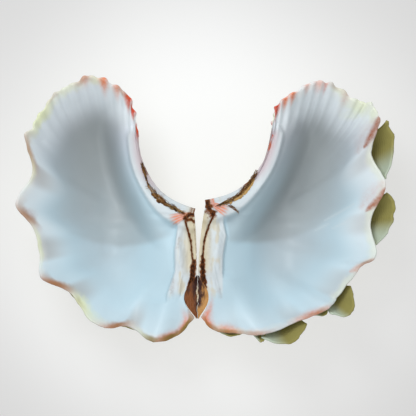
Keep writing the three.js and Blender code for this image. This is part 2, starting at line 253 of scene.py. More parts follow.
rightValve = {
    "side": 1,
    "beak": (7.5, 56.5),
    "byssalAngle": 8.0,
    "hingeAngle": -101.0,
    "notchWidth": 9.5,
    "seed": 8,
    "margin": [
        (70, 121, -7), (69.5, 136, -2), (75, 150, 0), (90, 161, 1), (110, 171, 1), (128, 168, -1),
        (147, 155, -4), (160, 150, 1), (169, 136, 9), (162.5, 104, -7), (174.5, 75, 10), (162, 41, -7),
        (165, 7, 9), (146, -11, -5), (131, -30, -6), (121, -40, 8), (97, -54, -6), (60, -64.5, 7),
        (36, -64, -4), (13, -60, -3), (2.3, -47.5, 0),
    ],
    "tips": (8, 10, 12, 15, 17),
    "lobes": [
        (0.7, 1.5, 0.3), (1.65, 2.0, 0.3), (2.4, 1.6, 0.22), (2.95, 1.6, 0.22), (3.6, 1.4, 0.2),
        (4.15, 1.5, 0.22), (4.75, 1.3, 0.22), (5.4, 1.0, 0.2), (6.2, 0.8, 0.25),
        (7.1, 2.6, 0.3), (12.5, -3.2, 0.3), (16, -2.2, 0.4),
    ],
    "ribs": [
        (6, 0.9, 14), (8.9, 0.8, 40), (10.9, 0.64, 37), (14.1, 0.75, 36), (15.3, 0.26, 17),
        (16.4, 0.55, 31), (17.05, 0.13, 20), (18.2, 0.6, 13),
    ],
    "plateEdge": [(24.5, 39), (27, 27), (24, 10), (23.5, -6)],
    "secondRidge": [(14.5, 0), (21, -30)],
    "paintedShadeEdge": [(10, 26), (27, 21), (58, 19), (89, 23), (112, 33), (128, 45), (180, 80)],
    "groove": [(16.5, 49), (15.5, 47), (10.7, 37), (6.5, 23), (4.7, 6.5), (5.2, -5), (7, -14)],
    "stains": [
        (0.45, 8, 0.3, 0.95, 0.8), (1.75, 8, 0.28, 1.0, 0.9), (2.45, 7, 0.2, 0.85, 0.5),
        (2.9, 7, 0.18, 0.85, 0.35), (3.6, 6, 0.15, 0.5, 0.3), (4.2, 8, 0.28, 0.5, 0.45),
        (4.55, 8, 0.12, 0.55, 0.8), (5.6, 12, 0.2, 0.35, 0.25), (12.6, 5, 0.3, 0.4, 0.2),
        (15.55, 7, 0.6, 0.65, 0.25), (17.2, 6, 0.5, 0.4, 0.2), (18.3, 8, 0.6, 0.7, 0.3),
        (19.4, 20, 0.55, 0.85, 0.5),
    ],
    "strokes": [
        ([(67, 117), (63, 104), (57, 92)], 3.0, 0.3, 0.6), ([(68.5, 115), (66.5, 107)], 1.6, 0.8, 0.5),
        ([(169, 138), (164, 125), (156, 110)], 4.4, 0.8, 0.0), ([(164, 134), (150, 106)], 10.0, 0.3, 0.1),
        ([(176, 73), (169, 61), (158, 51)], 4.6, 0.78, 0.06), ([(172, 76), (154, 54)], 11.0, 0.3, 0.2),
        ([(163, 5), (154, -1), (143, -6)], 4.5, 0.5, 0.25),
    ],
    "fan": (7.4, 60.2, -42, -13),
    "paintedShadeReach": (10, 44, 100, 0.85),
    "glints": [[(120, 41), (134, 49), (147, 57)], [(126, 33), (140, 40), (150, 47)], [(110, 31), (124, 38)]],
    "valleyShade": 0.35,
    "fluteReach": 24,
    "lime": [
        (6.5, 0.8, 18, 0.6), (7.5, 0.4, 12, 0.5), (5.3, 0.4, 6, 0.4), (9.3, 0.6, 7, 0.3),
        (10.6, 0.7, 9, 0.25), (11.6, 0.7, 8, 0.25), (13.6, 0.8, 6, 0.25), (18.3, 0.6, 6, 0.4),
        (1.1, 0.2, 4, 0.8),
    ],
    "olive": [(18.4, 0.6, 3, 0.6)],
    "ochre": [
        (12.4, 0.3, 4, 0.5), (15.3, 0.4, 4, 0.5), (17.2, 0.5, 4, 0.5), (5.0, 0.4, 3, 0.3),
        (19.3, 0.6, 5, 0.9),
    ],
    "grime": [
        ([(15.8, 48), (14, 44), (10.7, 37), (6.5, 23)], 1.5, 0.8),
        ([(6.5, 23), (4.7, 6.5), (5.0, -5)], 1.3, 0.85),
        ([(9.5, 56.5), (11, 52), (14, 48)], 5.5, 1.0), ([(16.5, 47), (13, 41)], 1.5, 0.6),
        ([(5.0, 8), (5.8, -8), (7.4, -20)], 2.4, 1.0), ([(4.4, 3), (4.4, -8), (4.8, -16)], 3.0, 1.0),
        ([(9.4, -31), (8, -38), (4.2, -45), (1.5, -50)], 1.1, 0.6),
        ([(27, 57), (36, 62), (47, 73), (55, 85)], 1.8, 0.75), ([(30, 54.5), (38, 49)], 0.9, 0.7),
        ([(20, -22), (22, -30)], 4.0, 0.18), ([(12, 30), (10, 6)], 4.0, 0.16),
        ([(13, 2), (12, -16)], 2.6, 0.14),
    ],
    "fibres": [
        {"path": [(20, 55.5), (30, 60), (40, 66.5), (48, 75), (55, 86)], "width": 2.8, "count": 150},
        {"path": [(28, 55.5), (33, 54), (37, 49.6)], "width": 0.7, "count": 14},
    ],
    "crust": [
        {"path": [(20, 56), (30, 60), (39, 65.8), (47, 73.5), (54, 84)], "width": 3.8, "tone": 0.15},
        {"path": [(30, 57.4), (39, 63), (47, 70.5), (53, 80)], "width": 4.8, "tone": 0.95},
    ],
}

def rimAt(valve, s):
    # The free margin with its small lobes and the sharp ends of its tips.
    smooth = splineAt(valve["margin"], s)
    rim = smooth.copy()
    ahead = splineAt(valve["margin"], np.minimum(s + 0.002, 1))
    behind = splineAt(valve["margin"], np.maximum(s - 0.002, 0))
    run = (ahead - behind)[:, :2]
    run /= np.linalg.norm(run, axis=1, keepdims=True)
    outward = np.stack([run[:, 1], -run[:, 0]], 1) * -1
    place = s * (len(valve["margin"]) - 1)
    # the rounded lip adds half its thickness again, so the edge starts that much further in
    reach = 0.35 * waveNoise(place * 6, place * 0, valve["seed"] + 2, 3.1, 3) - shellForm["lipThickness"] / 2
    reach -= shellForm["lobeInset"] * (1 - smoothStep(place, 6.5, 8))
    lift = np.zeros(len(s))
    for centre, far, half in valve["lobes"]:
        lobe = bump(place, centre, half)
        reach += far * lobe
        lift += shellForm["lobeLift"] * far * lobe
    for tip in valve["tips"]:
        reach += shellForm["tipReach"] * np.exp(-np.abs(place - tip) / 0.16)
    ends = smoothStep(s, 0.0, 0.01) * (1 - smoothStep(s, 0.985, 1.0))
    rim[:, :2] += outward * (reach * ends)[:, None]
    rim[:, 2] += lift * ends
    return rim, outward, smooth

def planOf(valve, u, s):
    beak = np.array(valve["beak"])
    rim, outward, smooth = rimAt(valve, s)
    chord = smooth[:, :2] - beak
    length = np.linalg.norm(chord, axis=1)
    angle = np.radians(mix(valve["byssalAngle"], valve["hingeAngle"], s * s))
    arm = length * (0.5 + 0.1 * (1 - s) ** 2)
    bend = beak + np.stack([np.cos(angle), np.sin(angle)], 1) * arm[:, None]
    u = u[:, None, None]
    plan = (1 - u) ** 2 * beak + 2 * u * (1 - u) * bend[None] + u * u * smooth[None, :, :2]
    plan = plan + (rim - smooth)[None, :, :2] * smoothStep(u, 0.9, 1.0)
    x, y = plan[..., 0], plan[..., 1]
    share = (y - ligamentMiddle) / ligamentHalf
    notch = valve["notchWidth"] * np.maximum(0, 1 - share * share) ** 1.5 * s**8
    ragged = 0.5 + 0.5 * waveNoise(y, 0 * y, valve["seed"] + 4, 9, 4)
    x = np.maximum(x, shellForm["jointGap"] + np.clip(ragged, 0, 1.2)) + notch
    return x, y, rim, smooth, length

def valveFields(valve, u, s):
    # What the two faces of a valve share, on a grid of u (rows) by s (columns).
    form = shellForm
    x, y, rim, smooth, length = planOf(valve, u, s)
    edgeX, edgeY = planOf(valve, np.linspace(0, 1, 60), np.zeros(1))[:2]
    byssal = distanceToPath(x, y, list(zip(edgeX[:, 0], edgeY[:, 0])))[0]
    ray = u[:, None] + 0 * x
    around = s[None, :] + 0 * x
    rise = smooth[None, :, 2] + 0 * x
    fold = rise * smoothStep(ray, 0.3, 1.05)
    fold += (rim - smooth)[None, :, 2] * smoothStep(ray, 0.78, 1.0)
    dip = form["byssalDip"] * np.sin(np.pi * np.minimum(ray * 1.05, 1)) * (1 - smoothStep(byssal, 0, 60))
    # the ledge is widest by the beak, so distances across it are drawn in there
    fromBeak = np.hypot(x - valve["beak"][0], y - valve["beak"][1])
    ledge = byssal * mix(1 / form["ledgeSpread"], 1.0, smoothStep(fromBeak, 25, 62))
    return {
        "x": x, "y": y, "u": ray, "s": around, "place": around * (len(valve["margin"]) - 1),
        "byssal": byssal, "ledge": ledge, "fromBeak": fromBeak, "rise": rise,
        "base": commissure + fold - dip, "fromRim": (1 - ray) * length[None, :],
        "smoothing": rise * (smoothStep(ray, 0.3, 1.05) - smoothStep(ray, *form["hollowFolds"])),
    }

def roundness(f, pair):
    return mix(pair[0], pair[1], smoothStep(f["s"], 0.25, 0.65))

def hollowShare(f):
    form = shellForm
    return (
        (1 - f["u"] ** roundness(f, form["hollowRoundness"]))
        * smoothStep(f["ledge"], form["ledgeFlat"], form["ledgeFlat"] + form["ledgeSlope"])
        * smoothStep(f["x"], form["plateFlat"], form["plateFlat"] + form["plateSlope"])
    )

def flutesOf(valve, f):
    # Fine ridges that run in from the rim between the byssal corner and the first tip.
    drift = 1.4 * waveNoise(f["place"] * 5, 0 * f["x"], valve["seed"] + 6, 20, 2)
    waves = np.sin(f["place"] * 2 * math.pi * 1.9 + drift)
    return waves * np.exp(-((f["fromRim"] / valve["fluteReach"]) ** 2)) * (1 - smoothStep(f["place"], 7, 9))

def innerHeight(valve, f):
    form = shellForm
    flare = 1 + form["rimFlare"] * smoothStep(f["u"], 0.5, 0.85)
    height = f["base"] - f["smoothing"] - form["bowlDepth"] * dome(hollowShare(f) ** flare)
    # the rounded byssal ledge, higher along its middle
    away = f["ledge"]
    begun = smoothStep(f["fromBeak"], 8, 26) * smoothStep(f["fromRim"], -4, 24)
    crown = np.clip(1 - ((away - 5.5) / 7.0) ** 2, 0, None)
    step = smoothStep(away, 8.5, 11.5) * (1 - smoothStep(away, 12, 40))
    height += begun * (form["ledgeCrown"] * crown - form["ledgeStep"] * step - 2.0 * np.exp(-away / 1.5))
    # the hinge tooth, a thinner ridge below it, and the groove of the ligament
    middle = np.clip((f["y"] - 12) / 26, -1, 1)
    tooth = bump(f["x"], 16 + 2.2 * np.sin(f["y"] / 13), 4.4)
    height += form["toothHeight"] * np.cos(middle * math.pi / 2) * tooth
    ridge, place = distanceToPath(f["x"], f["y"], valve["secondRidge"])
    height += form["ridgeHeight"] * np.sin(place * math.pi) ** 0.5 * bump(ridge, 0, 1.4)
    # the hinge plate ends in a step down to the hollow
    outs, alongs = np.array(valve["plateEdge"][::-1], float).T
    beyond = f["x"] - np.interp(f["y"], alongs, outs)
    within = smoothStep(f["y"], alongs[0] - 8, alongs[0])
    within *= 1 - smoothStep(f["y"], alongs[-1], alongs[-1] + 8)
    height -= form["plateStep"] * smoothStep(beyond, -0.9, 1.2) * (1 - smoothStep(beyond, 2, 28)) * within
    gap, _ = distanceToPath(f["x"], f["y"], valve["groove"])
    height -= form["grooveDepth"] * bump(gap, 0, 0.9)
    height -= 1.6 * bump(f["x"], 6.5, 3.2) * smoothStep(-f["y"], -2, 14) * (1 - smoothStep(-f["y"], 44, 52))
    onPlate = within * (1 - smoothStep(beyond, -2, 0))
    height += 0.7 * waveNoise(f["x"], 0.6 * f["y"], valve["seed"] + 9, 15, 3) * onPlate
    # slow unevenness of the nacre, and low growth steps near the rim
    height += 0.5 * waveNoise(f["x"], f["y"], valve["seed"], 46, 2) * smoothStep(f["u"], 0.1, 0.4)
    height += 0.22 * np.sin(f["fromRim"] / 2.4 + 0.8 * f["rise"]) * np.exp(-f["fromRim"] / 7)
    height += form["fluteHeight"] * flutesOf(valve, f)
    return height

def outerHeight(valve, f):
    form = shellForm
    sides = dome(f["byssal"] / form["byssalFlank"]) * dome(f["x"] / form["hingeFlank"])
    depth = dome((1 - f["u"] ** roundness(f, form["outsideRoundness"])) * sides)
    rib = form["ribBulge"] * (form["deepestFold"] - f["rise"]) / form["deepestFold"]
    rib = rib * np.sqrt(f["u"]) * (1 - f["u"] ** 3)
    edge = mix(form["hingeThickness"], form["lipThickness"], smoothStep(f["u"], 0.1, 1))
    height = f["base"] - form["bowlDepth"] * depth - edge - rib * depth
    # growth steps, and fine riblets that run down every rib
    lines = (f["fromRim"] + 1.5 * waveNoise(f["x"], f["y"], valve["seed"] + 5, 60, 2)) / 7.5
    steps = np.abs(lines % 1 - 0.5) * 2 - 0.5
    inside = 1 - smoothStep(f["u"], 0.94, 1)
    height += 0.9 * steps * smoothStep(f["u"], 0.15, 0.5) * inside
    height += 0.45 * np.sin(f["place"] * 2 * math.pi * 2.5) * smoothStep(f["u"], 0.25, 0.6) * inside
    return np.maximum(height, 0.0)

def colourFields(valve, f):
    # Masks from 0 to 1 that the shell's finish reads.
    x, y, place, fromRim = f["x"], f["y"], f["place"], f["fromRim"]
    blush = np.zeros(x.shape)
    redness = np.zeros(x.shape)
    weight = np.full(x.shape, 1e-6)
    wobble = 1 + 0.12 * waveNoise(x, y, valve["seed"] + 21, 7, 3)
    marks = [(capsule(x, y, path, width) * strong, red) for path, width, strong, red in valve["strokes"]]
    for at, deep, half, strong, red in valve["stains"]:
        span = half * (1.25 - 0.5 * np.clip(fromRim / deep, 0, 1))
        marks.append((bump(place, at, span) * np.exp(-((fromRim / deep) ** 2) * 0.8) * strong, red))
    for mask, red in marks:
        mask = mask * wobble
        redness += mask * red
        weight += mask
        blush = np.maximum(blush, mask)
    redness /= weight
    # fine coral rays that fan out below the beak
    fanX, fanY, fanStart, fanEnd = valve["fan"]
    angle = np.degrees(np.arctan2(y - fanY, x - fanX))
    reach = np.hypot(x - fanX, y - fanY)
    rays = 0.8 + 0.2 * np.cos(angle * 2 * math.pi / 8 + 0.6 * np.sin(reach / 4))
    fan = smoothStep(angle, fanStart - 5, fanStart + 4) * (1 - smoothStep(angle, fanEnd - 4, fanEnd + 5))
    fan *= smoothStep(reach, 2, 8) * (1 - smoothStep(reach, 17, 28)) * rays
    redness = mix(redness, 0.42, fan)
    blush = np.maximum(blush, 0.85 * fan)

    def bands(name):
        total = np.zeros(x.shape)
        for at, half, deep, strong in valve[name]:
            reach = deep * (1 + 0.25 * waveNoise(x, y, valve["seed"] + 31, 14, 3))
            band = bump(place, at, half) * (1 - smoothStep(fromRim, 0.25 * reach, reach)) * strong
            total = np.maximum(total, band)
        return total

    grime = np.zeros(x.shape)
    for path, width, strong in valve["grime"]:
        ragged = 0.66 * width * (1 + 0.42 * waveNoise(x, y, valve["seed"] + 41, 5, 3))
        gap, _ = distanceToPath(x, y, path)
        grime = np.maximum(grime, np.exp(-((gap / np.maximum(ragged, 0.3)) ** 2) * 0.9) * strong)
    # warm cream between the groove and the hinge edge, and on the plate beside the groove
    gap, _ = distanceToPath(x, y, valve["groove"])
    onHinge = (1 - smoothStep(y, 46, 54)) * smoothStep(y, -14, 0)
    cream = (1 - smoothStep(x, 6, 17)) * onHinge * 0.85
    mauve = np.exp(-((f["byssal"] - 1.0) / 5.0) ** 2) * smoothStep(f["u"], 0.3, 0.6)
    # painted highlight on the flute crests, partly their own whiter colour
    ridge = np.clip(flutesOf(valve, f), 0, 1) ** 1.5 * smoothStep(fromRim, 2, 9)
    # painted shade: the upper part of the hollow is darker, down to a soft edge that runs out from the hinge
    # plate
    outs, alongs = np.array(valve["paintedShadeEdge"], float).T
    above = smoothStep(y - np.interp(x, outs, alongs), -2.5, 4.5)
    plate = np.interp(y, *np.array(valve["plateEdge"][::-1], float).T[::-1])
    risen, kept, gone, lowShare = valve["paintedShadeReach"]
    shade = above * smoothStep(f["ledge"], 8, risen) * (1 - smoothStep(f["ledge"], kept, gone))
    shade *= smoothStep(x - plate, 0, 5) * (1 - 0.55 * smoothStep(y, 138, 174))
    shade *= mix(lowShare, 1.25, smoothStep(y, 30, 128))
    onPlate = (1 - smoothStep(x - plate, -1, 1)) * (1 - smoothStep(-y, 20, 34))
    pale = np.maximum(1 - smoothStep(f["ledge"], 8, 11), onPlate)
    blotches = smoothStep(waveNoise(x, 0.5 * y, valve["seed"] + 61, 13, 3), -0.1, 0.9)
    blotches *= (1 - smoothStep(x - plate, -5, -1)) * (1 - smoothStep(-y, 22, 34))
    cream = np.maximum(cream, 0.6 * blotches)
    # painted highlights: thin whiter streaks where growth ridges catch the light
    for path in valve["glints"]:
        pale = np.maximum(pale, 0.4 * capsule(x, y, path, 1.1))
    # warm grey shadows in the bays, a little way in from the rim
    valley = smoothStep(-f["rise"], 0.5, 6.5) * np.exp(-(((fromRim - 6) / 16) ** 2)) * valve["valleyShade"]
    valley *= smoothStep(place, 7.6, 8.6) * (1 - smoothStep(place, 17.6, 18.4))
    return {
        "valley": valley, "shade": shade, "pale": pale, "ridge": ridge, "redness": redness,
        "blush": np.clip(blush, 0, 1), "grime": np.clip(grime, 0, 1), "cream": np.clip(cream, 0, 1),
        "lime": bands("lime"), "olive": bands("olive"), "ochre": bands("ochre"), "mauve": mauve,
        "hollow": dome(hollowShare(f)), "fromRim": fromRim,
    }

def ringGrid(valve):
    # The whole valve as rings of one u each: inner face, hinge wall, outer face, byssal lip, and back.
    form = shellForm
    s = np.linspace(0, 1, (len(valve["margin"]) - 1) * form["raysPerPoint"] + 1)
    t = np.linspace(0, 1, form["steps"] + 1)
    u = t - 0.4 * np.sin(2 * np.pi * t) / (2 * np.pi)
    f = valveFields(valve, u, s)
    tags = colourFields(valve, f)
    names = sorted(tags) + ["outside"]
    inner = np.stack([f["x"], f["y"], innerHeight(valve, f)], -1)
    outer = np.stack([f["x"], f["y"], np.minimum(outerHeight(valve, f), inner[..., 2] - 1.2)], -1)
    shared = np.stack([tags[n] for n in names[:-1]], -1)
    faceIn = np.concatenate([inner, shared, np.zeros(inner.shape[:2] + (1,))], -1)
    faceOut = np.concatenate([outer, shared, np.ones(inner.shape[:2] + (1,))], -1)

    def wall(a, b, bulge):
        rows = []
        for k in range(1, form["wallSteps"]):
            turn = math.pi * k / form["wallSteps"]
            point = mix(a, b, (1 - math.cos(turn)) / 2)
            point[:, :2] += bulge * math.sin(turn)
            rows.append(point)
        return np.stack(rows, 1)

    run = np.gradient(inner[:, 0, :2], axis=0)
    run[0] = run[1]
    run /= np.linalg.norm(run, axis=1, keepdims=True) + 1e-9
    sideways = np.stack([-run[:, 1], run[:, 0]], 1)
    thick = (inner[:, 0, 2] - outer[:, 0, 2])[:, None]
    hingeWall = wall(faceIn[:, -1], faceOut[:, -1], np.zeros((len(u), 2)))
    byssalWall = wall(faceOut[:, 0], faceIn[:, 0], sideways * thick * 0.32)
    rings = np.concatenate([faceIn, hingeWall, faceOut[:, ::-1], byssalWall], 1)

    # the margin's lip closes the last ring with a quarter round on each face
    outward = rimAt(valve, s)[1]
    mid = (faceIn[-1] + faceOut[-1]) / 2
    half = (faceIn[-1] - faceOut[-1]) / 2
    extra = []
    for k in range(1, form["lipSteps"] + 1):
        turn = math.pi / 2 * k / form["lipSteps"]
        push = outward * np.abs(half[:, 2:3]) * math.sin(turn)
        top, low = mid + half * math.cos(turn), mid - half * math.cos(turn)
        top[:, :2] += push
        low[:, :2] += push
        ends = []
        for side, centre, shift in ((hingeWall, mid[-1], push[-1]), (byssalWall, mid[0], push[0])):
            row = centre + (side[-1] - centre) * math.cos(turn)
            row[:, :2] += shift
            ends.append(row)
        extra.append(np.concatenate([top, ends[0], low[::-1], ends[1]], 0))
    return np.concatenate([rings, np.stack(extra)], 0), names

def meshFromRings(name, rings, names, side):
    rows, count = rings.shape[:2]
    flat = rings.reshape(-1, rings.shape[2])
    index = np.arange(rows * count).reshape(rows, count)
    after = np.roll(index, -1, axis=1)
    quads = np.stack([index[:-1], after[:-1], after[1:], index[1:]], -1).reshape(-1, 4)
    _, first, inverse = np.unique(np.round(flat[:, :3], 3), axis=0, return_index=True, return_inverse=True)
    quads = inverse.reshape(-1)[quads]
    kept = flat[first]
    faces = []
    for quad in quads.tolist():
        corners = [c for i, c in enumerate(quad) if c != quad[i - 1]]
        if len(corners) >= 3 and len(set(corners)) == len(corners):
            faces.append(corners)
    mesh = bpy.data.meshes.new(name)
    mesh.from_pydata(toWorld(kept[:, :3], side).tolist(), [], faces)
    tagMesh(mesh, {tag: kept[:, 3 + i] for i, tag in enumerate(names)})
    return mesh

def faceOutwards(mesh):
    work = bmesh.new()
    work.from_mesh(mesh)
    bmesh.ops.recalc_face_normals(work, faces=work.faces)
    work.to_mesh(mesh)
    work.free()
    mesh.shade_smooth()

def newPiece(name, data):
    piece = bpy.data.objects.new(name, data)
    bpy.context.scene.collection.objects.link(piece)
    return piece

# Helpers for shader trees and geometry trees alike.

def feed(tree, node, inputs):
    # Links or sets a node's inputs, by name or by number.
    for key, value in inputs.items():
        if isinstance(value, bpy.types.NodeSocket):
            tree.links.new(value, node.inputs[key])
        elif value is not None:
            node.inputs[key].default_value = value

def addNode(tree, kind, inputs=None, **values):
    node = tree.nodes.new(kind)
    for key, value in values.items():
        setattr(node, key, value)
    feed(tree, node, inputs or {})
    return node

def maths(tree, operation, *items):
    return addNode(tree, "ShaderNodeMath", dict(enumerate(items)), operation=operation).outputs[0]

def times(tree, a, b):
    return maths(tree, "MULTIPLY", a, b)

def plus(tree, a, b):
    return maths(tree, "ADD", a, b)

def vectors(tree, operation, a, b):
    # b is a vector, or the size where a vector is scaled.
    second = "Scale" if operation == "SCALE" else 1
    return addNode(tree, "ShaderNodeVectorMath", {0: a, second: b}, operation=operation).outputs[0]

def ramp(tree, value, low, high, start=0.0, end=1.0):
    items = dict(enumerate((value, low, high, start, end)))
    return addNode(tree, "ShaderNodeMapRange", items, interpolation_type="SMOOTHSTEP").outputs[0]

def blendColour(tree, share, a, b):
    return addNode(tree, "ShaderNodeMix", {0: share, 6: a, 7: b}, data_type="RGBA").outputs[2]

def layColours(tree, base, look, coats):
    # Lays coats of colour over a base, each with its own mask.
    for share, coat in coats:
        base = blendColour(tree, share, base, look[coat] if isinstance(coat, str) else coat)
    return base

def attribute(tree, name):
    return addNode(tree, "ShaderNodeAttribute", attribute_name=name).outputs["Fac"]

def addSockets(group, inputs, outputs):
    for name, kind, value in inputs:
        socket = group.interface.new_socket(name, in_out="INPUT", socket_type="NodeSocket" + kind)
        if value is not None:
            socket.default_value = value
    for name, kind in outputs:
        group.interface.new_socket(name, in_out="OUTPUT", socket_type="NodeSocket" + kind)
    return group.nodes.new("NodeGroupInput").outputs, group.nodes.new("NodeGroupOutput")

def bakePiece(piece):
    # Turns a piece's modifiers into a plain mesh.
    old = piece.data
    mesh = bpy.data.meshes.new_from_object(piece.evaluated_get(bpy.context.evaluated_depsgraph_get()))
    piece.modifiers.clear()
    piece.data = mesh
    bpy.data.meshes.remove(old)
    return mesh

def useTree(piece, group, values):
    modifier = piece.modifiers.new(group.name, "NODES")
    modifier.node_group = group
    for item in group.interface.items_tree:
        if item.item_type == "SOCKET" and item.in_out == "INPUT" and item.name in values:
            modifier[item.identifier] = values[item.name]
    bakePiece(piece)
    return piece

def thicken(piece, thickness, offset):
    modifier = piece.modifiers.new("thickness", "SOLIDIFY")
    modifier.thickness = thickness
    modifier.offset = offset
    return bakePiece(piece)

def joinPieces(main, others):
    pieces = [main] + others
    with bpy.context.temp_override(active_object=main, object=main, selected_editable_objects=pieces,
                                   selected_objects=pieces):
        bpy.ops.object.join()
    return main

def colour(red, green, blue):
    # From 0 to 255 in each channel to the linear colour that a shader takes.
    def line(value):
        share = value / 255
        return share / 12.92 if share <= 0.04045 else ((share + 0.055) / 1.055) ** 2.4

    return (line(red), line(green), line(blue), 1.0)

def makeMottle():
    # Soft uneven patches: a mask from layered noise.
    group = bpy.data.node_groups.new("mottle", "ShaderNodeTree")
    inside, out = addSockets(
        group,
        [("Vector", "Vector", None), ("Scale", "Float", 40.0), ("Low", "Float", 0.35),
         ("High", "Float", 0.65)],
        [("Mask", "Float")],
    )
    noise = addNode(group, "ShaderNodeTexNoise", {
        "Vector": inside["Vector"], "Scale": inside["Scale"], "Detail": 6, "Roughness": 0.6,
    })
    feed(group, out, {"Mask": ramp(group, noise.outputs["Fac"], inside["Low"], inside["High"])})
    return group

mottle = makeMottle()

def addMottle(tree, vector, scale, low=0.35, high=0.65):
    values = {"Vector": vector, "Scale": scale, "Low": low, "High": high}
    return addNode(tree, "ShaderNodeGroup", values, node_tree=mottle).outputs["Mask"]

def newMaterial(name):
    material = bpy.data.materials.new(name)
    material.use_nodes = True
    tree = material.node_tree
    tree.nodes.clear()
    shader = addNode(tree, "ShaderNodeBsdfPrincipled")
    addNode(tree, "ShaderNodeOutputMaterial", {"Surface": shader.outputs[0]})
    place = addNode(tree, "ShaderNodeTexCoord").outputs["Object"]
    return material, tree, shader, place

def addBump(tree, shader, height, distance, strength=0.5):
    node = addNode(tree, "ShaderNodeBump", {"Height": height, "Distance": distance, "Strength": strength})
    feed(tree, shader, {"Normal": node.outputs["Normal"]})

shellFinish = {
    "porcelain": colour(196, 220, 230),
    "upperPorcelain": colour(204, 209, 218),
    # painted light, near the rim and on the flute crests
    "paintedLightWhite": colour(240, 247, 250),
    # partly painted shade: the greyer floor of the hollow
    "floor": colour(182, 190, 194),
    # painted shade for the upper part of the hollow
    "shade": colour(150, 154, 153),
    "brightWhite": colour(216, 224, 227),
    "valley": colour(166, 156, 148),
    "warmWhite": colour(244, 238, 226),
    "lime": colour(232, 237, 192),
    # the rim's own orange-brown, partly painted shade below the tips
    "ochre": colour(170, 114, 64),
    "stainBrown": colour(168, 98, 64),
    "orange": colour(236, 128, 76),
    "red": colour(208, 64, 18),
    "olive": colour(128, 108, 48),
    "oliveDark": colour(84, 74, 36),
    "chalk": colour(206, 208, 176),
    "leaf": colour(158, 150, 86),
    # growth lines on the scutes, and painted shade towards their roots
    "leafLinesAndShade": colour(122, 112, 66),
    "leafPale": colour(199, 213, 196),
    "cream": colour(214, 199, 163),
    "mauve": colour(214, 192, 196),
    "grime": colour(122, 66, 22),
    "grimeDark": colour(58, 28, 8),
}

